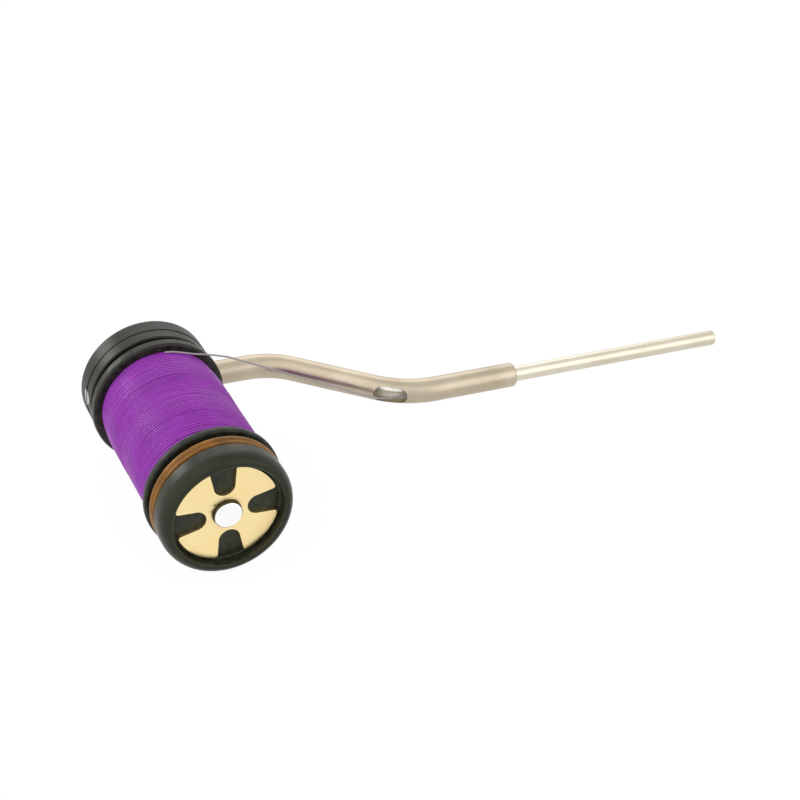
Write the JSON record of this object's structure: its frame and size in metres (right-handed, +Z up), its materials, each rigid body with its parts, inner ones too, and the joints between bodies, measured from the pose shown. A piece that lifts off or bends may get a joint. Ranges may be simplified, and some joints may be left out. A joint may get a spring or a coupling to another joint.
{
  "type": "fly tying bobbin holder",
  "caption": "Hand-held thread bobbin: spool on an axle between a plastic housing and a drag knob, with a bent metal arm and feed nozzle.",
  "frame": {"origin": "middle of the underside, on the surface that the holder lies on", "axes": "+X from the spool to the nozzle tip, +Y along the axle from the knob to the rear cover, +Z up; the arm slopes down by 5.6 degrees, so the tip rests on the surface"},
  "size_m": [0.1124, 0.0422, 0.0226],
  "materials": {
    "spool_plastic": "moulded, satin",
    "thread": "waxed purple tying thread, soft sheen",
    "bush": "natural nylon",
    "axle_steel": "polished",
    "fastener": "plain steel",
    "felt": "pressed felt",
    "black_steel": "blackened",
    "knob_plastic": "moulded, satin",
    "brass_plate": "fine satin",
    "amber_ring": "translucent amber",
    "housing_plastic": "moulded, satin",
    "screw": "bright",
    "arm_nickel": "warm satin nickel",
    "nozzle_nickel": "warm satin nickel"
  },
  "bodies": {
    "holder": {"axle": "axle_steel", "axle_nut": "fastener", "lock_washer": "fastener", "felt_washer": "felt", "pressure_washer": "black_steel", "housing_body": "housing_plastic", "rear_cover": "housing_plastic", "clamp_screw": "screw", "arm_tube": "arm_nickel", "arm_pin": "fastener", "nozzle_tube": "nozzle_nickel", "thread_run": "thread"},
    "spool_body": {"spool": "spool_plastic", "thread_core": "thread", "thread_outer_layer": "thread", "front_bush": "bush", "rear_bush": "bush"},
    "drag_seat": {"spring_seat": "fastener", "disc_springs": "fastener"},
    "knob": {"front_knob": "knob_plastic", "brass_plate": "brass_plate", "amber_ring": "amber_ring"}
  },
  "joints": [
    {"name": "spool_spin", "type": "hinge", "parent": "holder", "child": "spool_body", "pos_m": [-0.04495, 0.00026, 0.0113], "axis": [0, 1, 0], "continuous": true},
    {"name": "knob_turn", "type": "hinge", "parent": "holder", "child": "drag_seat", "pos_m": [-0.04495, 0.00026, 0.0113], "axis": [0, 1, 0], "range_deg": [-180, 360]},
    {"name": "knob_advance", "type": "slide", "parent": "drag_seat", "child": "knob", "axis": [0, 1, 0], "range_m": [-0.00035, 0.0007], "deforming": ["disc_springs"]}
  ],
  "couplings": [
    {"joint": "knob_advance", "follows": "knob_turn", "m_per_rad": 0.000079577}
  ]
}
